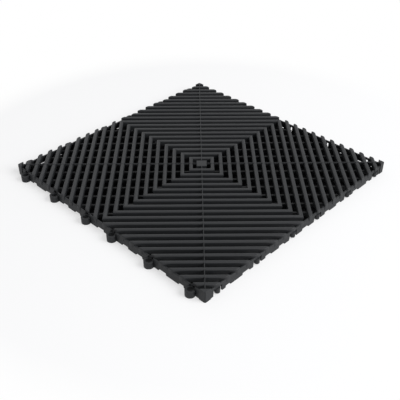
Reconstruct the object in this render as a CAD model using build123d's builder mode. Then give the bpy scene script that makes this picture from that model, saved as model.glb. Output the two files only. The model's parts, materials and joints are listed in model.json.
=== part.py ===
"""Interlocking vented floor tile: one plastic moulding, 400 mm square and 18 mm thick.

The tile lies flat with its underside on Z = 0, its centre on the Z axis and its edges along X and Y.
Ribs with bevelled tops run as nested diamonds at 45 degrees to the edges. They stand on lower cross
ribs, which run square to them, and an edge wall closes the grille. Two edges carry round loops, on -X
and -Y, and the other two carry the pegs that drop into the loops of the next tile. The one moulding is
written as its four quarters, which meet face to face along the mitres of the ribs.
"""
import os
from math import sqrt

from build123d import *

# Driving dimensions, in millimetres
side = 400.0
height = 18.0
ribs_per_side = 21.5
rib_width = 5.8
rib_bevel = 1.4
rib_depth = 8.4
ridge_width = 1.0
ridge_rise = 0.3
cross_pitch = 21.1
cross_width = 3.2
cross_rows = 6
foot_height = 3.2
foot_length = 8.0
foot_every = 5
foot_rows = 2
centre_half_width = 7.8
corner_block_depth = 7.3
wall_thickness = 2.6
wall_height = 13.5
wall_recess = 0.8
edge_bevel = 0.8
corner_bevel = 1.5

# Loops on two edges, with grooves over them, and pegs in pockets on the other two
fastener_steps = (1.5, 5.5, 9.5)
fastener_offset = 2.0
loop_outer_radius = 7.0
loop_hole_radius = 4.2
loop_height = 10.0
groove_clearance = 0.3
peg_clearance = 0.4
peg_bottom = 2.0
pocket_clearance = 0.8
pocket_headroom = 0.3

# Drain notches in the lower edge of the walls, each a centre and a width along half an edge
notches = ((0.0, 14.0), (52.0, 12.0), (80.0, 12.0), (124.0, 14.0), (158.0, 9.0))

# Sizes that follow from the driving ones
half = side / 2
diagonal = half * sqrt(2)
edge_pitch = side / ribs_per_side
rib_pitch = edge_pitch / sqrt(2)
first_rib = rib_pitch / 4
rib_count = int((diagonal - first_rib) / rib_pitch)
rib_top = height - ridge_rise
rib_bottom = rib_top - rib_depth
block_line = diagonal - corner_block_depth
wall_outer = half - wall_recess
wall_inner = wall_outer - wall_thickness
loop_line = half + fastener_offset
peg_line = half - fastener_offset
peg_radius = loop_hole_radius - peg_clearance
groove_reach = loop_hole_radius + groove_clearance
pocket_reach = loop_outer_radius + pocket_clearance
pocket_top = loop_height + pocket_headroom

# Distances of the ribs and cross ribs from the tile's centre, and the feet where some of them cross
rib_places = [first_rib + k * rib_pitch for k in range(1, rib_count + 1)]
cross_places = [(row + 0.5) * cross_pitch * way for row in range(cross_rows) for way in (-1, 1)]
foot_lines = [(row + 0.5) * cross_pitch * way for row in range(0, cross_rows, foot_rows) for way in (-1, 1)]
fastener_places = [step * edge_pitch for step in fastener_steps]
foot_places = [
    (rib, cross)
    for rib in rib_places[foot_every - 1 :: foot_every]
    for cross in foot_lines
    if abs(cross) + foot_length < rib < diagonal - abs(cross) - foot_length
]
diagonal_way = Location((0, 0, 0), (0, 0, 45))


def edge_way(angle):
    """The turn about the tile's centre that carries the +X edge to another edge."""
    return Location((0, 0, 0), (0, 0, angle))


# Space that the quarter on +X and +Y fills, up to its mitres and the bevelled edge of the tile
with BuildPart() as space:
    with BuildSketch() as outline:
        Rectangle(half, half, align=Align.MIN)
        chamfer(outline.vertices().sort_by_distance((0, 0))[-1], corner_bevel)
    extrude(amount=height)
    upper_edges = space.edges().group_by(Axis.Z)[-1]
    chamfer(upper_edges.filter_by(lambda edge: edge.center().length > half), edge_bevel)

# The grille of that quarter, without loops or pegs
with BuildPart() as grille:
    # Ribs, each a profile with a bevelled top that runs square to the diagonal
    across_ribs = Plane((0, 0, 0), x_dir=(1, 1, 0), z_dir=(1, -1, 0))
    with BuildSketch(across_ribs) as rib_profiles:
        with Locations(*[(place, rib_bottom) for place in rib_places]):
            Rectangle(rib_width, rib_depth, align=(Align.CENTER, Align.MIN))
        chamfer(rib_profiles.vertices().group_by(Axis.Y)[-1], rib_bevel)
    extrude(amount=diagonal, both=True)

    # Edge walls, with notches in their lower edge for the water
    with BuildSketch():
        Rectangle(wall_outer, wall_outer, align=Align.MIN)
        Rectangle(wall_inner, wall_inner, align=Align.MIN, mode=Mode.SUBTRACT)
    extrude(amount=wall_height)
    with BuildSketch():
        for centre, width in notches:
            with Locations((wall_inner, centre)):
                Rectangle(wall_thickness, width, align=(Align.MIN, Align.CENTER))
            with Locations((centre, wall_inner)):
                Rectangle(width, wall_thickness, align=(Align.CENTER, Align.MIN))
    extrude(amount=foot_height, mode=Mode.SUBTRACT)

    # Flat middle of the tile, and the solid block that closes the corner
    with BuildSketch():
        with Locations(diagonal_way):
            Rectangle(2 * centre_half_width, 2 * centre_half_width)
            with Locations((block_line, 0)):
                Rectangle(2 * corner_block_depth, 4 * corner_block_depth, align=(Align.MIN, Align.CENTER))
    extrude(amount=rib_top)

    # Thin ridge over the ribs, along the diagonal of the tile
    with BuildSketch(Plane.XY.offset(rib_top - rib_bevel)):
        with Locations(diagonal_way):
            Rectangle(block_line, ridge_width, align=(Align.MIN, Align.CENTER))
    extrude(amount=ridge_rise + rib_bevel)
    add(space.part, mode=Mode.INTERSECT)

    # Cross ribs under the ribs, and feet under the cross ribs
    with BuildSketch(Plane.XY.offset(foot_height)):
        with Locations(diagonal_way):
            with Locations(*[(0, place) for place in cross_places]):
                Rectangle(diagonal, cross_width, align=(Align.MIN, Align.CENTER))
        Rectangle(wall_outer, wall_outer, align=Align.MIN, mode=Mode.INTERSECT)
    extrude(amount=rib_bottom - foot_height)
    with BuildSketch():
        with Locations(diagonal_way):
            with Locations(*foot_places):
                Rectangle(foot_length, cross_width)
    extrude(amount=foot_height)

# Rings of the loops for one edge, drawn on +X, each from the inside of the wall outwards
fastener_spots = [place * way for place in fastener_places for way in (-1, 1)]
with BuildPart() as loops:
    with BuildSketch():
        with Locations(*[(loop_line, spot) for spot in fastener_spots]):
            Circle(loop_outer_radius)
            Circle(loop_hole_radius, mode=Mode.SUBTRACT)
        with Locations((wall_inner, 0)):
            Rectangle(side, side, align=(Align.MIN, Align.CENTER), mode=Mode.INTERSECT)
    extrude(amount=loop_height)

# Upright grooves in that edge, over the holes of the loops, that let the next tile's pegs in
with BuildPart() as grooves:
    with BuildSketch():
        with Locations(*[(loop_line - groove_reach, spot) for spot in fastener_spots]):
            Rectangle(2 * groove_reach, 2 * groove_reach, align=(Align.MIN, Align.CENTER))
    extrude(amount=height)

# Pegs for one edge, drawn on +X, which hang from the wall
with BuildPart() as pegs:
    with BuildSketch(Plane.XY.offset(peg_bottom)):
        with Locations(*[(peg_line, spot) for spot in fastener_spots]):
            Circle(peg_radius)
    extrude(amount=pocket_top - peg_bottom)

# Pockets round the pegs, open to the edge and to the floor, that take the next tile's loops
with BuildPart() as pockets:
    with BuildSketch():
        with Locations(*[(peg_line - pocket_reach, spot) for spot in fastener_spots]):
            Rectangle(2 * pocket_reach, 2 * pocket_reach, align=(Align.MIN, Align.CENTER))
    extrude(amount=pocket_top)

# What is cut from the tile, and what is then added to it, along its four edges
with BuildPart() as cuts:
    with Locations(edge_way(180), edge_way(270)):
        add(grooves.part)
    with Locations(edge_way(0), edge_way(90)):
        add(pockets.part)
with BuildPart() as fasteners:
    with Locations(edge_way(180), edge_way(270)):
        add(loops.part)
    with Locations(edge_way(0), edge_way(90)):
        add(pegs.part)

# Quarters of the tile, each with the turn that brings the grille to it
quarters = {"quarter_pegs": 0, "quarter_far": 90, "quarter_loops": 180, "quarter_near": 270}

os.makedirs("parts", exist_ok=True)
for name, angle in quarters.items():
    with BuildPart() as own_fasteners:
        with BuildSketch():
            with Locations(edge_way(angle)):
                Rectangle(side, side, align=Align.MIN)
        extrude(amount=height)
        add(fasteners.part, mode=Mode.INTERSECT)
    with BuildPart() as quarter:
        with Locations(edge_way(angle)):
            add(grille.part)
        add(cuts.part, mode=Mode.SUBTRACT, clean=False)
        add(own_fasteners.part)
    quarter.part.label = name
    export_step(quarter.part, f"parts/{name}.step")
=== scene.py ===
"""Interlocking vented floor tile, dressed for a product shot in the style of a Blender add-on.

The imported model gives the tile's square, its height and the loops in its edges. The moulding is drawn
here as surfaces worked out with numpy, with the crowned ribs, drafts and soft edges that an injection
mould gives it, and each piece stands in for its share of the CAD quarters. Lengths are metres.
"""
import json
from math import cos, pi, radians, sin, sqrt

import bpy
import numpy as np
from mathutils import Matrix, Vector


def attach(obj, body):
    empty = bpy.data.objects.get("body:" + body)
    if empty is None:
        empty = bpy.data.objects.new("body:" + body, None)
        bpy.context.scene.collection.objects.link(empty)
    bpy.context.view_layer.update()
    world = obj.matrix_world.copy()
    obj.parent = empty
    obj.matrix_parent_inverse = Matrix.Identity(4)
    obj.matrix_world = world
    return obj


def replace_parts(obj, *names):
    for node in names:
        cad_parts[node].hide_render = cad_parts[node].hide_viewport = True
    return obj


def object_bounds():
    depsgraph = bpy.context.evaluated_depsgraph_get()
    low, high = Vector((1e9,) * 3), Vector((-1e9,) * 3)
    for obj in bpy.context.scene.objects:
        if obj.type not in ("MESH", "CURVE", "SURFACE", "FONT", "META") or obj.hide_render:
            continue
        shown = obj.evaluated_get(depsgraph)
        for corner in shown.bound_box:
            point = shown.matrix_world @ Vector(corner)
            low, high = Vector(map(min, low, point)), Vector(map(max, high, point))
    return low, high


bl_info = {
    "name": "Vented floor tile",
    "version": (1, 0, 0),
    "blender": (4, 5, 0),
    "location": "View3D > Sidebar > Floor tile",
    "description": "Draws a ribbed, vented floor tile over its CAD frame, with its plastic and its stage",
    "category": "Object",
}

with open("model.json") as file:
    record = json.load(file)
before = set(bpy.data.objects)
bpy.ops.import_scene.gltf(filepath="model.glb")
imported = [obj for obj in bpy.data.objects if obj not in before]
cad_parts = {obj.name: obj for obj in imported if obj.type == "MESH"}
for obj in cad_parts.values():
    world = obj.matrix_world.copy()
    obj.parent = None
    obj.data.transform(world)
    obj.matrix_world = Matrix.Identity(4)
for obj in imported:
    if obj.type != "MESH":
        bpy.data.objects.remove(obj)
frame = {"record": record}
CAD_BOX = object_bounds()
BODY = "root"
QUARTERS = ("quarter_pegs", "quarter_far", "quarter_loops", "quarter_near")
MM = 0.001

# How far pieces reach into each other so that no gap shows, and the least angle of a sharp edge
OVERLAP = 0.2 * MM
SHARP = radians(35)

# Sides of the round forms
LOOP_SIDES = 48
PEG_SIDES = 40

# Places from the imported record: the loops stand outside two edges, and the pegs inside the other two
LOOPS = [mount for mount in frame["record"]["mounts"] if mount["name"].startswith("loop_")]
LOOP_HOLE = LOOPS[0]["dims"]["r_mm"] * MM
LOOP_HEIGHT = LOOPS[0]["dims"]["length_mm"] * MM
LOOP_MIDDLE = LOOPS[0]["pos_m"][2]
LOOP_LINE = max(abs(place) for mount in LOOPS for place in mount["pos_m"])
LOOP_OFFSET = 2 * MM
HALF = LOOP_LINE - LOOP_OFFSET
PEG_LINE = HALF - LOOP_OFFSET
SPOTS = np.array(sorted(mount["pos_m"][1] for mount in LOOPS if mount["pos_m"][0] < -HALF))
HEIGHT = CAD_BOX[1].z

# Edges of the tile by quarter turns from +X
PEG_EDGES = (0, 1)
LOOP_EDGES = (2, 3)

# Drain notches in the foot of a wall, each a centre and a width, on both halves of an edge
NOTCHES = np.array([(0, 14), (52, 12), (80, 12), (124, 14), (158, 9)]) * MM


def length(name, description, millimetres):
    """A length setting whose default is given in millimetres."""
    return bpy.props.FloatProperty(
        name=name, description=description, default=millimetres * MM, unit="LENGTH", precision=5)


def share(name, description, default):
    """A setting from 0 to 1."""
    return bpy.props.FloatProperty(
        name=name, description=description, default=default, min=0, max=1, subtype="FACTOR")


def colour(name, description, default):
    """A colour setting in linear light."""
    return bpy.props.FloatVectorProperty(
        name=name, description=description, default=default, size=3, min=0, max=1, subtype="COLOR")


def position(name, description, default):
    """A place in space."""
    return bpy.props.FloatVectorProperty(
        name=name, description=description, default=default, size=3, subtype="TRANSLATION")


def heading(name, description, default):
    """An angle setting in radians."""
    return bpy.props.FloatProperty(name=name, description=description, default=default, subtype="ANGLE")


def wattage(name, description, default):
    """A lamp's power in watts."""
    return bpy.props.FloatProperty(name=name, description=description, default=default, unit="POWER")


class TileSizes(bpy.types.PropertyGroup):
    """Sizes of the moulding."""

    ribs_per_side: bpy.props.FloatProperty(
        name="Ribs per side", description="Rib pitches along one edge of the tile", default=21.5)
    rib_width: length("Rib width", "Width of a rib at its widest", 5.8)
    rib_depth: length("Rib depth", "Height of a rib from its underside to its top", 8.4)
    rib_round: length("Rib rounding", "Radius of a rib's upper edges", 1.7)
    rib_crown: length("Rib crown", "Rise of a rib's top towards its middle", 0.15)
    rib_draft: length("Rib draft", "How much a rib's foot is set in on each side", 0.25)
    end_round: length("Rib end rounding", "Radius of a rib's end in plan", 1.6)
    end_drop: length("Rib end drop", "How far a rib's top falls round its end", 1.0)
    ridge_width: length("Ridge width", "Width of the thin ridges along the diagonals", 1.0)
    ridge_rise: length("Ridge rise", "Rise of the ridges over the ribs", 0.3)
    ridge_depth: length("Ridge depth", "Depth of the ridges under the tops of the ribs", 1.4)
    ridge_round: length("Ridge rounding", "Radius of a ridge's upper edges", 0.35)
    ridge_overlap: length("Ridge overlap", "How far a ridge runs into the forms at its ends", 0.5)
    cross_pitch: length("Cross rib pitch", "Distance from one cross rib to the next", 21.1)
    cross_width: length("Cross rib width", "Width of a cross rib", 3.2)
    cross_round: length("Cross rib rounding", "Radius of a cross rib's upper edges", 0.5)
    cross_rows: bpy.props.IntProperty(
        name="Cross rib rows", description="Cross ribs on each side of a diagonal", default=6)
    foot_height: length("Foot height", "Height of the feet and of the drain notches", 3.2)
    foot_length: length("Foot length", "Length of a foot along its cross rib", 8)
    foot_round: length("Foot rounding", "Radius of a foot's upper edges, inside its cross rib", 0.1)
    foot_draft: length("Foot draft", "How much the foot's underside is set in on each side", 0.2)
    foot_every: bpy.props.IntProperty(
        name="Foot spacing", description="Ribs from one foot to the next", default=5)
    foot_rows: bpy.props.IntProperty(
        name="Foot rows", description="Cross ribs from one row of feet to the next", default=2)
    middle_reach: length("Middle plate", "Half the width of the flat plate in the middle", 7.8)
    middle_round: length("Middle rounding", "Radius of the middle plate's upper edges", 0.6)
    corner_depth: length("Corner depth", "Depth of a corner block along the diagonal", 7.3)
    corner_bevel: length("Corner bevel", "Bevel of the tile's corner in plan", 1.5)
    edge_round: length("Edge rounding", "Radius of the tile's upper outer edge", 0.8)
    wall_thickness: length("Wall thickness", "Thickness of the edge wall", 2.6)
    wall_height: length("Wall height", "Height of the edge wall", 13.5)
    wall_recess: length("Wall recess", "How far the wall stands back from the ends of the ribs", 0.8)
    wall_round: length("Wall rounding", "Radius of the wall's upper edges", 0.6)
    loop_radius: length("Loop radius", "Outer radius of a loop", 7)
    loop_round: length("Loop rounding", "Radius of a loop's edges", 0.5)
    groove_reach: length("Groove", "Reach of the groove over a loop from the loop's axis", 4.5)
    step_lean: length("Step lean", "Length along a wall over which its notches and grooves begin", 0.5)
    peg_radius: length("Peg radius", "Radius of a peg", 3.8)
    peg_low: length("Peg foot", "Height of a peg's foot over the floor", 2)
    peg_round: length("Peg rounding", "Radius of the edge of a peg's foot", 0.6)
    pocket_reach: length("Pocket", "Half the width of the pocket round a peg", 7.8)
    pocket_top: length("Pocket height", "Height of the pocket round a peg", 10.3)


class TileFinish(bpy.types.PropertyGroup):
    """Colours and textures of the plastic."""

    plastic: colour("Plastic", "Colour of the moulded plastic", (0.0145, 0.0156, 0.0172))
    rubbed: colour("Rubbed plastic", "Colour where the tread is rubbed", (0.0195, 0.0208, 0.0228))
    roughness: share("Roughness", "Roughness of the moulded surface", 0.56)
    gloss: share("Gloss", "Share of light that the surface mirrors, 0.5 for plain plastic", 0.31)
    grain: length("Grain", "Size of the mould's fine grain", 0.6)
    grain_depth: length("Grain depth", "Depth of the fine grain", 0.03)
    grain_rough: share("Grain roughness", "How much the roughness changes with the grain", 0.08)
    flow: length("Flow", "Size of the faint clouds that the flowing plastic leaves", 35)
    flow_rough: share("Flow roughness", "How much the roughness changes with the clouds", 0.10)
    worn_low: length("Wear starts", "Depth under the tread's top at which no wear is left", 1.5)
    worn_high: length("Wear is full", "Depth under the tread's top at which the wear is full", 0.3)


class StageSettings(bpy.types.PropertyGroup):
    """Camera, lamps and floor."""

    camera_place: position("Camera place", "Where the camera stands", (0.57103, -0.59001, 0.54425))
    camera_turn: heading("Camera turn", "Heading of the camera, from +Y towards -X", pi / 4 - 0.0134)
    camera_dip: heading("Camera dip", "Angle that the camera looks down by", 0.6286)
    camera_roll: heading("Camera roll", "Roll of the camera", 0.0012)
    focal_widths: bpy.props.FloatProperty(
        name="Focal length", description="Focal length in widths of the picture", default=632.2 / 400)
    floor: colour("Floor", "Colour of the floor as the object sees it", (0.97, 0.97, 0.98))
    backdrop: colour("Backdrop", "Colour of the floor and the air as the camera sees them", (1, 1, 1))
    # Painted shade: under the tile the floor is coloured near black, in a square that the next four settings
    # give
    under: colour("Floor under the tile", "Colour of the floor in the tile's shade", (0.012, 0.012, 0.013))
    dark_inset: length("Dark inset", "How far inside the tile's outline the dark under it ends", 2.5)
    dark_shift: length("Dark shift", "How far the dark under the tile is moved towards -X and +Y", 3.5)
    dark_fade: length("Dark fade", "Width over which the floor gets from dark to pale", 2)
    shadow: share("Shadow", "How much of the floor's picture comes from the light on it", 0.42)
    shadow_near: length("Shadow fades from", "Distance from the centre where the shadow's share falls", 300)
    shadow_far: length("Shadow fades to", "Distance from the centre where the floor is plain backdrop", 480)
    floor_reach: length("Floor reach", "Half the width of the floor", 6000)
    floor_drop: length("Floor drop", "How far the floor lies under the tile", 0.05)
    sky: bpy.props.FloatProperty(name="Sky", description="Strength of the light from all round", default=0.4)
    sky_colour: colour("Sky colour", "Colour of the light from all round", (0.97, 0.98, 1))
    key: wattage("Key", "Power of the lamp on the right", 180)
    key_place: position("Key place", "Where the lamp on the right stands", (3.2, 1.1, 2.45))
    key_size: length("Key size", "Width of the lamp on the right", 2700)
    side: wattage("Side", "Power of the lamp on the left", 5)
    side_place: position("Side place", "Where the lamp on the left stands", (-2.6, 0.7, 1.2))
    side_size: length("Side size", "Width of the lamp on the left", 2200)


# Grids of points

def grid_faces(rows, columns, closed_rows=False, closed_columns=False):
    """Quads of a grid of points in row order. A closed direction joins its last line to its first."""
    row = np.arange(rows if closed_rows else rows - 1)[:, None]
    column = np.arange(columns if closed_columns else columns - 1)[None, :]
    next_row, next_column = (row + 1) % rows, (column + 1) % columns
    corners = [row * columns + column, row * columns + next_column,
               next_row * columns + next_column, next_row * columns + column]
    return np.stack(corners, axis=-1).reshape(-1, 4)


def stacked(points, faces):
    """A shape from a stack of equal grids: every grid gets the same faces, moved on to its own points."""
    count = points.shape[0]
    size = points[0].size // 3
    moved = [(face + np.arange(count)[:, None, None] * size).reshape(-1, face.shape[-1]) for face in faces]
    return points.reshape(-1, 3), moved


def rings(points):
    """Grids that close on themselves both ways, as a ring does."""
    return stacked(points, [grid_faces(*points.shape[1:3], closed_rows=True, closed_columns=True)])


def bars(points):
    """Grids of a closed profile along an open path. The profile's second half mirrors its first, so
    quads between opposite points close both ends."""
    rows, columns = points.shape[1:3]
    near = np.arange(columns // 2 - 1)
    far = columns - 1 - near
    cap = np.stack([near, far, far - 1, near + 1], axis=-1)
    last = cap[:, ::-1] + (rows - 1) * columns
    return stacked(points, [grid_faces(rows, columns, closed_columns=True), cap, last])


def tubs(points):
    """Grids closed round each row, with one face over the first row and one over the last."""
    rows, columns = points.shape[1:3]
    cap = np.arange(columns)[None, :]
    last = cap[:, ::-1] + (rows - 1) * columns
    return stacked(points, [grid_faces(rows, columns, closed_columns=True), cap, last])


def lifted(flat, up):
    """Points in space from points in plan and their heights."""
    return np.concatenate([flat, np.broadcast_to(up, flat.shape[:-1])[..., None]], axis=-1)


def turned(points, quarters):
    """Points turned about Z by quarter turns: each takes (x, y) to (-y, x)."""
    angle = quarters * pi / 2
    return points @ np.round([[cos(angle), sin(angle), 0], [-sin(angle), cos(angle), 0], [0, 0, 1]])


def make_piece(name, shapes):
    """One object from (points, lists of faces) shapes, smooth but for its sharp edges, riding on the
    tile's body in place of the CAD quarters."""
    points = np.concatenate([shape[0] for shape in shapes])
    faces = []
    start = 0
    for shape_points, face_lists in shapes:
        for face_list in face_lists:
            faces += (face_list + start).tolist()
        start += len(shape_points)
    mesh = bpy.data.meshes.new(name)
    mesh.from_pydata(points.tolist(), [], faces)
    mesh.polygons.foreach_set("use_smooth", np.ones(len(faces), dtype=bool))
    mesh.set_sharp_from_angle(angle=SHARP)
    mesh.materials.append(plastic_material())
    piece = bpy.data.objects.new(name, mesh)
    bpy.context.scene.collection.objects.link(piece)
    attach(piece, BODY)
    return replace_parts(piece, *QUARTERS)


# Forms of the moulding

def layout(sizes):
    """Distances of the ribs from the centre, of the cross ribs from a diagonal, and the main heights."""
    pitch = 2 * HALF / sizes.ribs_per_side / sqrt(2)
    first = pitch / 4
    count = int((HALF * sqrt(2) - sizes.corner_depth - first) / pitch)
    ribs = first + pitch * np.arange(1, count + 1)
    crosses = sizes.cross_pitch * (0.5 + np.arange(sizes.cross_rows))
    rib_top = HEIGHT - sizes.ridge_rise
    return ribs, crosses, rib_top, rib_top - sizes.rib_depth


def quarter_circle(radius, steps):
    """A rounded edge from a side up to a top: how far each point is set in from the side, and how far
    it lies under the top."""
    angle = np.linspace(0, pi / 2, steps)
    return radius * (1 - np.cos(angle)), radius * (1 - np.sin(angle))


def bar_profile(width, low, high, rounding, crown=0.0, draft=0.0):
    """Outline of a bar: sides that lean in by the draft towards the foot, quarter circles at the upper
    edges, and a top that rises to its middle along a parabola by the crown. Columns are across and up."""
    inset, drop = quarter_circle(rounding, 5)
    top = np.linspace(rounding, width / 2, 4)[1:-1]
    across = np.concatenate([[draft], inset, top]) - width / 2
    up = np.concatenate([[low], high - crown - drop, np.full(len(top), high - crown)])
    flat = width / 2 - rounding
    up[1:] += crown * np.clip(1 - (across[1:] / flat) ** 2, 0, None)
    half = np.stack([across, up], axis=-1)
    return np.concatenate([half, half[::-1] * (-1, 1)])


def whole_ribs(ribs, profile):
    """Ribs that close round the middle. At a distance r from the centre a profile point goes round a
    diamond with its corners sqrt(2) r out along X and Y."""
    reach = (ribs[:, None] + profile[:, 0]) * sqrt(2)
    corners = np.array([(1, 0), (0, 1), (-1, 0), (0, -1)])
    return rings(lifted(reach[:, None, :, None] * corners[None, :, None, :], profile[:, 1]))


def cut_ribs(sizes, ribs, profile, quarter):
    """Ribs of one quarter that run from edge to edge, with rounded ends. At a distance r from the centre
    they lie on x + y = sqrt(2) r. At an angle t round an end, with the end's radius R, the profile stops
    R (1 - sin t) short of the edge and is set in by R (1 - cos t), and its top falls along with that."""
    turn = np.radians(np.linspace(0, 90, 6))
    over_loop = np.abs((ribs * sqrt(2) - HALF)[:, None] - SPOTS).min(axis=1) < sizes.groove_reach / 2
    reach = [np.where(over_loop & (edge in LOOP_EDGES), LOOP_LINE - sizes.groove_reach, HALF)
             for edge in (quarter, (quarter + 1) % 4)]
    stops = [(edge[:, None] - sizes.end_round * (1 - np.sin(turn)))[..., None] for edge in reach]
    inset = (1 - np.cos(turn))[:, None]
    across = profile[:, 0] * (1 - inset * sizes.end_round / (sizes.rib_width / 2))
    rise = (profile[:, 1] - profile[:, 1].min()) / np.ptp(profile[:, 1])
    up = profile[:, 1] - sizes.end_drop * inset * rise
    total = (ribs[:, None, None] + across) * sqrt(2)
    first, last = (np.broadcast_to(stop, total.shape) for stop in stops)
    flat = np.concatenate([np.stack([first, total - first], axis=-1)[:, ::-1],
                           np.stack([total - last, last], axis=-1)], axis=1)
    return bars(turned(lifted(flat, np.concatenate([up[::-1], up])), quarter))


def cross_ribs(sizes, crosses, profile, edge):
    """Cross ribs that meet on one axis and run to one edge, as a V. At a distance c from the diagonals a
    profile point starts on the axis sqrt(2) c out, and each arm gains as much across as outwards."""
    wall = HALF - sizes.wall_recess - sizes.wall_thickness / 2
    landing = wall - crosses * sqrt(2)
    in_pocket = (np.abs(landing[:, None] - SPOTS).min(axis=1) < sizes.pocket_reach) & (edge in PEG_EDGES)
    out = np.where(in_pocket, PEG_LINE - sizes.pocket_reach, wall)[:, None]
    start = (crosses[:, None] + profile[:, 0]) * sqrt(2)
    out = np.broadcast_to(out, start.shape)
    flat = np.stack([np.stack([out, start - out], axis=-1), np.stack([start, 0 * start], axis=-1),
                     np.stack([out, out - start], axis=-1)], axis=1)
    return bars(turned(lifted(flat, profile[:, 1]), edge))


def feet(sizes, ribs, crosses, profile, quarter):
    """Feet under some crossings of one quarter: short bars along the cross ribs. A place is given by its
    distance r out along the diagonal and its distance c beside it."""
    out, side = np.meshgrid(ribs[sizes.foot_every - 1::sizes.foot_every], np.concatenate([-crosses, crosses]))
    reach = HALF * sqrt(2) - np.abs(side) - sizes.foot_length
    kept = (out > np.abs(side) + sizes.foot_length) & (out < reach)
    along = out[kept][:, None] + sizes.foot_length / 2 * np.array([-1, 1])
    beside = side[kept][:, None, None] + profile[:, 0]
    along = np.broadcast_to(along[..., None], along.shape + (len(profile),))
    beside = np.broadcast_to(beside, along.shape)
    flat = np.stack([along - beside, along + beside], axis=-1) / sqrt(2)
    return bars(turned(lifted(flat, profile[:, 1]), quarter))


def plate(outline, low, high, rounding):
    """A plate with a rounded upper edge. The outline gives the corners for an inset, and the inset and
    the height follow a quarter circle."""
    inset, drop = quarter_circle(rounding, 5)
    rows = np.array([outline(reach) for reach in (0, *inset)])
    heights = np.concatenate([[low], high - drop])
    return tubs(lifted(rows, heights[:, None])[None])


def wall(sizes, edge):
    """The wall of one edge, drawn along the +X edge and turned. Its foot rises and its face steps back
    as functions of the place along it, each a sum of trapezoids with steep sides."""
    face = HALF - sizes.wall_recess
    inner = face - sizes.wall_thickness
    steep = sizes.step_lean
    notches = np.concatenate([NOTCHES * (-1, 1), NOTCHES[1:]])
    rises = [(centre, width / 2, sizes.foot_height) for centre, width in notches]
    steps = []
    if edge in PEG_EDGES:
        rises += [(spot, sizes.pocket_reach, sizes.pocket_top) for spot in SPOTS]
    else:
        steps = [(spot, sizes.groove_reach, face - (LOOP_LINE - sizes.groove_reach)) for spot in SPOTS]
    marks = [centre + way * (reach + lean) for centre, reach, _ in rises + steps
             for way in (-1, 1) for lean in (-steep / 2, steep / 2)]
    along = np.unique(np.round([-face + steep, face - steep] + marks, 7))

    def trapezoids(items):
        """Height over the wall's length, where each item is a centre, a half width and a height."""
        centre, reach, size = np.array(items).reshape(-1, 3).T
        ramp = (reach + steep / 2 - np.abs(along[:, None] - centre)) / steep
        return (np.clip(ramp, 0, 1) * size).sum(axis=1)

    inset, drop = (np.concatenate([[0], part]) for part in quarter_circle(sizes.wall_round, 4))
    foot = trapezoids(rises)[:, None]
    top = np.broadcast_to(sizes.wall_height - drop, (len(along), len(drop))).copy()
    top[:, :1] = foot
    outside = face - trapezoids(steps)[:, None] - inset
    inside = np.broadcast_to(inner + inset, outside.shape)
    out = np.concatenate([outside, inside[:, ::-1]], axis=1)
    up = np.concatenate([top, top[:, ::-1]], axis=1)
    flat = np.stack([out, np.broadcast_to(along[:, None], out.shape)], axis=-1)
    return bars(turned(lifted(flat, up)[None], edge))


def unit_circle(sides):
    """Points of a circle of radius 1 in plan."""
    angle = np.linspace(0, 2 * pi, sides, endpoint=False)
    return np.stack([np.cos(angle), np.sin(angle)], axis=-1)


def centres(line):
    """Centres of the loops or pegs along the +X edge, one for each stacked grid."""
    return np.stack([np.full(len(SPOTS), line), SPOTS], axis=-1)[:, None, None, :]


def loop_rings(sizes, edge):
    """Loops of one edge: a rounded section carried round the hole. The outer radius is cut straight
    where it reaches the inside of the wall."""
    circle = unit_circle(LOOP_SIDES)
    back = LOOP_LINE - (HALF - sizes.wall_recess - sizes.wall_thickness)
    straight = back / np.clip(-circle[:, 0], 0.01, None)
    outer = np.minimum(sizes.loop_radius, straight)[:, None]
    inset, drop = quarter_circle(sizes.loop_round, 4)
    rise = LOOP_HEIGHT / 2 - drop
    insets = np.concatenate([inset[::-1], inset])
    heights = np.concatenate([-rise[::-1], rise])
    outside = outer - insets
    hole = np.broadcast_to(LOOP_HOLE + insets[::-1], outside.shape)
    radius = np.concatenate([outside, hole], axis=1)
    up = LOOP_MIDDLE + np.concatenate([heights, heights[::-1]])
    flat = radius[..., None] * circle[:, None, :]
    return rings(turned(lifted(flat + centres(LOOP_LINE), up), edge))


def peg_posts(sizes, edge):
    """Pegs of one edge: a radius that follows a quarter circle at the foot, turned round the axis."""
    rise, inset = quarter_circle(sizes.peg_round, 4)
    radius = np.concatenate([sizes.peg_radius - inset, [sizes.peg_radius]])
    up = np.concatenate([sizes.peg_low + rise, [sizes.pocket_top + OVERLAP]])
    flat = radius[:, None, None] * unit_circle(PEG_SIDES) + centres(PEG_LINE)
    return tubs(turned(lifted(flat, up[:, None]), edge))


# Materials

class Number:
    """A number in a node tree. Python's operators on it add Math nodes."""

    def __init__(self, nodes, socket):
        self.nodes = nodes
        self.socket = socket

    def math(self, operation, *others):
        """The result of a Math node on this number and others."""
        inputs = dict(enumerate((self, *others)))
        node = self.nodes.add("ShaderNodeMath", {"operation": operation}, inputs)
        return Number(self.nodes, node.outputs[0])

    def __add__(self, other):
        return self.math("ADD", other)

    def __mul__(self, other):
        return self.math("MULTIPLY", other)

    def __sub__(self, other):
        return self.math("SUBTRACT", other)

    __radd__ = __add__
    __rmul__ = __mul__

    def between(self, low, high):
        """0 at low and 1 at high, in a smooth step."""
        settings = {"interpolation_type": "SMOOTHSTEP"}
        inputs = {"Value": self, "From Min": low, "From Max": high}
        return Number(self.nodes, self.nodes.add("ShaderNodeMapRange", settings, inputs).outputs[0])


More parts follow.
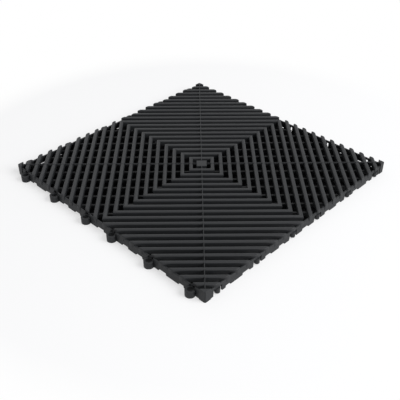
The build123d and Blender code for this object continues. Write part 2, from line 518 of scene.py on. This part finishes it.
class Nodes:
    """A node tree that is filled by one method."""

    def __init__(self, owner):
        owner.use_nodes = True
        self.tree = owner.node_tree
        self.tree.nodes.clear()

    def add(self, kind, settings=None, inputs=None):
        """A node of a kind, with its settings first, and then the values or links of its sockets."""
        node = self.tree.nodes.new(kind)
        for name, value in (settings or {}).items():
            setattr(node, name, value)
        for key, value in (inputs or {}).items():
            if isinstance(value, Number):
                value = value.socket
            if isinstance(value, bpy.types.NodeSocket):
                self.tree.links.new(value, node.inputs[key])
            else:
                node.inputs[key].default_value = value
        return node

    def number(self, kind, settings, inputs, output=0):
        """A node's output as a number to reckon with."""
        return Number(self, self.add(kind, settings, inputs).outputs[output])


def plastic_material():
    """The moulded plastic: fine grain, faint flow clouds, and a tread that is rubbed a little paler."""
    if "moulded plastic" in bpy.data.materials:
        return bpy.data.materials["moulded plastic"]
    finish = bpy.context.scene.tile_finish
    material = bpy.data.materials.new("moulded plastic")
    nodes = Nodes(material)
    place = nodes.add("ShaderNodeTexCoord").outputs["Object"]
    height = nodes.number("ShaderNodeSeparateXYZ", {}, {"Vector": place}, "Z")
    grain = nodes.number("ShaderNodeTexNoise", {}, {
        "Vector": place, "Scale": 1 / finish.grain, "Detail": 3, "Roughness": 0.6})
    flow = nodes.number("ShaderNodeTexNoise", {}, {
        "Vector": place, "Scale": 1 / finish.flow, "Detail": 4, "Roughness": 0.55, "Distortion": 0.6})
    rub = nodes.number("ShaderNodeTexNoise", {}, {
        "Vector": place, "Scale": 1 / (6 * finish.grain), "Detail": 5, "Roughness": 0.7})
    tread = height.between(HEIGHT - finish.worn_low, HEIGHT - finish.worn_high)

    # A third of the wear is even, and the rest follows the rubbed spots and the clouds
    worn = tread * (0.35 + 0.4 * rub.between(0.35, 0.75) + 0.25 * flow.between(0.3, 0.7))
    tint = nodes.add("ShaderNodeMix", {"data_type": "RGBA"}, {
        "Factor": worn, "A": (*finish.plastic, 1), "B": (*finish.rubbed, 1)}).outputs["Result"]
    rough = finish.roughness + finish.flow_rough * (flow - 0.5) + finish.grain_rough * (grain - 0.5)
    bump = nodes.add("ShaderNodeBump", {}, {
        "Strength": 0.6, "Distance": finish.grain_depth, "Height": grain + 0.5 * rub}).outputs["Normal"]
    shader = nodes.add("ShaderNodeBsdfPrincipled", {}, {
        "Base Color": tint, "Roughness": rough, "Normal": bump,
        "Specular IOR Level": finish.gloss})
    nodes.add("ShaderNodeOutputMaterial", {}, {"Surface": shader.outputs[0]})
    return material


def backdrop_rays(nodes):
    """1 for the rays that see the backdrop as it is: the camera's, and those of reflections and glass."""
    path = nodes.add("ShaderNodeLightPath")
    camera, glossy, clear = (Number(nodes, path.outputs[name])
                             for name in ("Is Camera Ray", "Is Glossy Ray", "Is Transmission Ray"))
    return camera.math("MAXIMUM", glossy).math("MAXIMUM", clear)


def floor_material(stage):
    """The floor: a pale matt surface, of which the camera sees a share as plain backdrop, and nothing else
    away from the tile. Under the tile it is dark, a painted shade, in a square that is moved towards -X
    and +Y, away from where the scene's camera stands, so that the notches in the near walls show the pale
    floor."""
    material = bpy.data.materials.new("floor")
    nodes = Nodes(material)
    place = nodes.add("ShaderNodeTexCoord").outputs["Object"]
    split = nodes.add("ShaderNodeSeparateXYZ", {}, {"Vector": place})
    x, y = (Number(nodes, split.outputs[axis]) for axis in ("X", "Y"))
    x, y = (x + stage.dark_shift).math("ABSOLUTE"), (y - stage.dark_shift).math("ABSOLUTE")
    edge = HALF - stage.dark_inset
    open_floor = x.math("MAXIMUM", y).between(edge - stage.dark_fade, edge)
    # Painted shade: the floor's colour goes from pale to near black under the tile, where open_floor falls to
    # 0
    tint = nodes.add("ShaderNodeMix", {"data_type": "RGBA"}, {
        "Factor": open_floor, "A": (*stage.under, 1), "B": (*stage.floor, 1)}).outputs["Result"]
    matt = nodes.add("ShaderNodeBsdfDiffuse", {}, {"Color": tint}).outputs[0]
    plain = nodes.add("ShaderNodeEmission", {}, {"Color": (*stage.backdrop, 1), "Strength": 1.0}).outputs[0]
    distance = nodes.number("ShaderNodeVectorMath", {"operation": "LENGTH"}, {0: place}, "Value")
    plain_share = distance.between(stage.shadow_near, stage.shadow_far).math("MAXIMUM", 1 - stage.shadow)
    # Under the painted shade the camera sees only the dark matt colour, without the plain backdrop
    factor = backdrop_rays(nodes) * open_floor * plain_share
    mix = nodes.add("ShaderNodeMixShader", {}, {0: factor, 1: matt, 2: plain})
    nodes.add("ShaderNodeOutputMaterial", {}, {"Surface": mix.outputs[0]})
    return material


# Operators, one for each piece or group of like pieces

class TILE_OT_tread_ribs(bpy.types.Operator):
    """Draw the nested ribs of the tread"""

    bl_idname = "tile.tread_ribs"
    bl_label = "Tread ribs"

    def execute(self, context):
        sizes = context.scene.tile_sizes
        ribs, _, rib_top, rib_low = layout(sizes)
        profile = bar_profile(
            sizes.rib_width, rib_low, rib_top, sizes.rib_round, sizes.rib_crown, sizes.rib_draft)
        whole = ribs * sqrt(2) < HALF - sizes.wall_recess - sizes.wall_thickness
        cut = [cut_ribs(sizes, ribs[~whole], profile, quarter) for quarter in range(4)]
        make_piece("tread_ribs", [whole_ribs(ribs[whole], profile), *cut])
        return {"FINISHED"}


class TILE_OT_ridges(bpy.types.Operator):
    """Draw the thin ridges along the diagonals"""

    bl_idname = "tile.ridges"
    bl_label = "Diagonal ridges"

    def execute(self, context):
        sizes = context.scene.tile_sizes
        rib_top = layout(sizes)[2]
        low = rib_top - sizes.ridge_depth
        profile = bar_profile(sizes.ridge_width, low, HEIGHT, sizes.ridge_round)
        block = HALF * sqrt(2) - sizes.corner_depth
        ends = np.array([sizes.middle_reach - sizes.ridge_overlap, block + sizes.ridge_overlap])[:, None]
        flat = np.stack([ends - profile[:, 0], ends + profile[:, 0]], axis=-1)
        one = lifted(flat / sqrt(2), profile[:, 1])[None]
        make_piece("diagonal_ridges", [bars(turned(one, quarter)) for quarter in range(4)])
        return {"FINISHED"}


class TILE_OT_plates(bpy.types.Operator):
    """Draw the plate in the middle and the blocks in the corners"""

    bl_idname = "tile.plates"
    bl_label = "Middle plate and corner blocks"

    def execute(self, context):
        sizes = context.scene.tile_sizes
        rib_top = layout(sizes)[2]

        def middle(inset):
            """Corners of the middle plate on the X and Y axes."""
            reach = (sizes.middle_reach - inset) * sqrt(2)
            return [(reach, 0), (0, reach), (-reach, 0), (0, -reach)]

        def corner(inset):
            """Corners of the block on +X and +Y: two edges of the tile between two lines x + y."""
            edge = HALF - inset
            near = 2 * HALF - sizes.corner_depth * sqrt(2) + inset * sqrt(2)
            far = 2 * HALF - sizes.corner_bevel - inset * sqrt(2)
            return [(edge, near - edge), (edge, far - edge), (far - edge, edge), (near - edge, edge)]

        plates = [plate(middle, 0, rib_top, sizes.middle_round)]
        points, faces = plate(corner, 0, rib_top, sizes.edge_round - sizes.ridge_rise)
        plates += [(turned(points, quarter), faces) for quarter in range(4)]
        make_piece("plates_and_corners", plates)
        return {"FINISHED"}


class TILE_OT_walls(bpy.types.Operator):
    """Draw the walls along the edges, with their drain notches, grooves and pockets"""

    bl_idname = "tile.walls"
    bl_label = "Edge walls"

    def execute(self, context):
        make_piece("edge_walls", [wall(context.scene.tile_sizes, edge) for edge in range(4)])
        return {"FINISHED"}


class TILE_OT_cross_ribs(bpy.types.Operator):
    """Draw the cross ribs under the tread and the feet under them"""

    bl_idname = "tile.cross_ribs"
    bl_label = "Cross ribs and feet"

    def execute(self, context):
        sizes = context.scene.tile_sizes
        ribs, crosses, _, rib_low = layout(sizes)
        width, foot_top = sizes.cross_width, sizes.foot_height
        profile = bar_profile(width, foot_top, rib_low + OVERLAP, sizes.cross_round)
        foot = bar_profile(width, 0, foot_top + OVERLAP, sizes.foot_round, draft=sizes.foot_draft)
        shapes = [cross_ribs(sizes, crosses, profile, edge) for edge in range(4)]
        shapes += [feet(sizes, ribs, crosses[::sizes.foot_rows], foot, quarter) for quarter in range(4)]
        make_piece("cross_ribs", shapes)
        return {"FINISHED"}


class TILE_OT_fasteners(bpy.types.Operator):
    """Draw the loops on two edges and the pegs on the other two"""

    bl_idname = "tile.fasteners"
    bl_label = "Loops and pegs"

    def execute(self, context):
        sizes = context.scene.tile_sizes
        make_piece("loops", [loop_rings(sizes, edge) for edge in LOOP_EDGES])
        make_piece("pegs", [peg_posts(sizes, edge) for edge in PEG_EDGES])
        return {"FINISHED"}


class TILE_OT_stage(bpy.types.Operator):
    """Set up the floor, the lamps, the world and the camera"""

    bl_idname = "tile.stage"
    bl_label = "Stage"

    def execute(self, context):
        scene = context.scene
        stage = scene.tile_stage
        floor = bpy.data.meshes.new("floor")
        reach = stage.floor_reach
        corners = [(-reach, -reach, 0), (reach, -reach, 0), (reach, reach, 0), (-reach, reach, 0)]
        floor.from_pydata(corners, [], [(0, 1, 2, 3)])
        floor.materials.append(floor_material(stage))
        floor_object = bpy.data.objects.new("floor", floor)
        floor_object.location.z = -stage.floor_drop
        scene.collection.objects.link(floor_object)

        world = bpy.data.worlds.new("studio")
        scene.world = world
        nodes = Nodes(world)
        light = nodes.add("ShaderNodeBackground", {}, {
            "Color": (*stage.sky_colour, 1), "Strength": stage.sky})
        plain = nodes.add("ShaderNodeBackground", {}, {"Color": (*stage.backdrop, 1), "Strength": 1.0})
        mix = nodes.add("ShaderNodeMixShader", {}, {
            0: backdrop_rays(nodes), 1: light.outputs[0], 2: plain.outputs[0]})
        nodes.add("ShaderNodeOutputWorld", {}, {"Surface": mix.outputs[0]})

        self.lamp(scene, "key", stage.key, stage.key_place, stage.key_size)
        self.lamp(scene, "side", stage.side, stage.side_place, stage.side_size)

        data = bpy.data.cameras.new("camera")
        data.sensor_width = 36
        data.lens = data.sensor_width * stage.focal_widths
        camera = bpy.data.objects.new("camera", data)
        turn = Matrix.Rotation(stage.camera_turn, 4, "Z") @ Matrix.Rotation(pi / 2 - stage.camera_dip, 4, "X")
        roll = Matrix.Rotation(stage.camera_roll, 4, "Z")
        camera.matrix_world = Matrix.Translation(Vector(stage.camera_place)) @ turn @ roll
        scene.collection.objects.link(camera)
        scene.camera = camera
        scene.view_settings.view_transform = "Standard"
        return {"FINISHED"}

    @staticmethod
    def lamp(scene, name, power, place, size):
        """A square soft lamp that faces the tile."""
        data = bpy.data.lights.new(name, "AREA")
        data.energy = power
        data.size = size
        lamp = bpy.data.objects.new(name, data)
        lamp.location = place
        lamp.rotation_euler = (-Vector(place)).to_track_quat("-Z", "Y").to_euler()
        scene.collection.objects.link(lamp)


OPERATORS = (TILE_OT_tread_ribs, TILE_OT_ridges, TILE_OT_plates, TILE_OT_walls, TILE_OT_cross_ribs,
             TILE_OT_fasteners, TILE_OT_stage)


class TILE_PT_panel(bpy.types.Panel):
    """Buttons and settings of the tile in the sidebar"""

    bl_idname = "TILE_PT_panel"
    bl_label = "Floor tile"
    bl_space_type = "VIEW_3D"
    bl_region_type = "UI"
    bl_category = "Floor tile"

    def draw(self, context):
        column = self.layout.column()
        for operator in OPERATORS:
            column.operator(operator.bl_idname)
        for group in (context.scene.tile_sizes, context.scene.tile_finish, context.scene.tile_stage):
            box = self.layout.box()
            for name in group.bl_rna.properties.keys():
                if name not in ("rna_type", "name"):
                    box.prop(group, name)


CLASSES = (TileSizes, TileFinish, StageSettings, *OPERATORS, TILE_PT_panel)


def register():
    """Registers the classes and hangs the settings on the scene."""
    for item in CLASSES:
        bpy.utils.register_class(item)
    bpy.types.Scene.tile_sizes = bpy.props.PointerProperty(type=TileSizes)
    bpy.types.Scene.tile_finish = bpy.props.PointerProperty(type=TileFinish)
    bpy.types.Scene.tile_stage = bpy.props.PointerProperty(type=StageSettings)


def unregister():
    """Takes the settings and the classes away again."""
    del bpy.types.Scene.tile_stage
    del bpy.types.Scene.tile_finish
    del bpy.types.Scene.tile_sizes
    for item in reversed(CLASSES):
        bpy.utils.unregister_class(item)


def main():
    """Draws the tile and its stage."""
    register()
    bpy.ops.tile.stage()
    bpy.ops.tile.tread_ribs()
    bpy.ops.tile.ridges()
    bpy.ops.tile.plates()
    bpy.ops.tile.walls()
    bpy.ops.tile.cross_ribs()
    bpy.ops.tile.fasteners()


if __name__ == "__main__":
    main()
